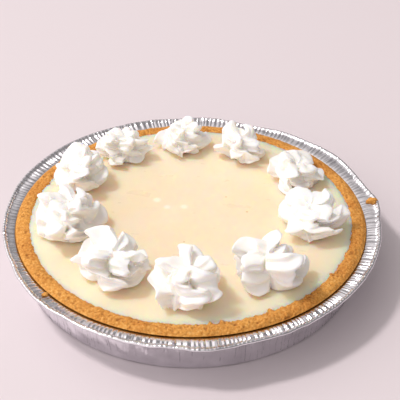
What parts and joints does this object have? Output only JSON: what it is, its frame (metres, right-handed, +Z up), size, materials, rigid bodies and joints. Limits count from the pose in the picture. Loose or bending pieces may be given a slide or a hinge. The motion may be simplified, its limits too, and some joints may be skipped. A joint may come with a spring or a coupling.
{
  "type": "lemon cream pie",
  "caption": "Round pie in a crimped foil tin: baked crumb crust, smooth pale lemon filling, and a ring of piped whipped-cream rosettes.",
  "frame": {"origin": "centre of the tin's round underside, on the surface that it rests on", "axes": "+Z up, out of the pie; -Y to the front of the pie, where the picture was taken from; +X to the picture's right"},
  "size_m": [0.2294, 0.2304, 0.0584],
  "materials": {
    "foil": "bright crimped foil",
    "baked_crumb": "baked biscuit crumb, dull and grainy",
    "lemon_filling": "set cream filling, soft sheen",
    "whipped_cream": "whipped cream, soft matte"
  },
  "bodies": {
    "root": {"pie_tin": "foil", "crumb_crust": "baked_crumb", "lemon_filling": "lemon_filling", "cream_rosette_01": "whipped_cream", "cream_rosette_02": "whipped_cream", "cream_rosette_03": "whipped_cream", "cream_rosette_04": "whipped_cream", "cream_rosette_05": "whipped_cream", "cream_rosette_06": "whipped_cream", "cream_rosette_07": "whipped_cream", "cream_rosette_08": "whipped_cream", "cream_rosette_09": "whipped_cream", "cream_rosette_10": "whipped_cream"}
  },
  "joints": []
}
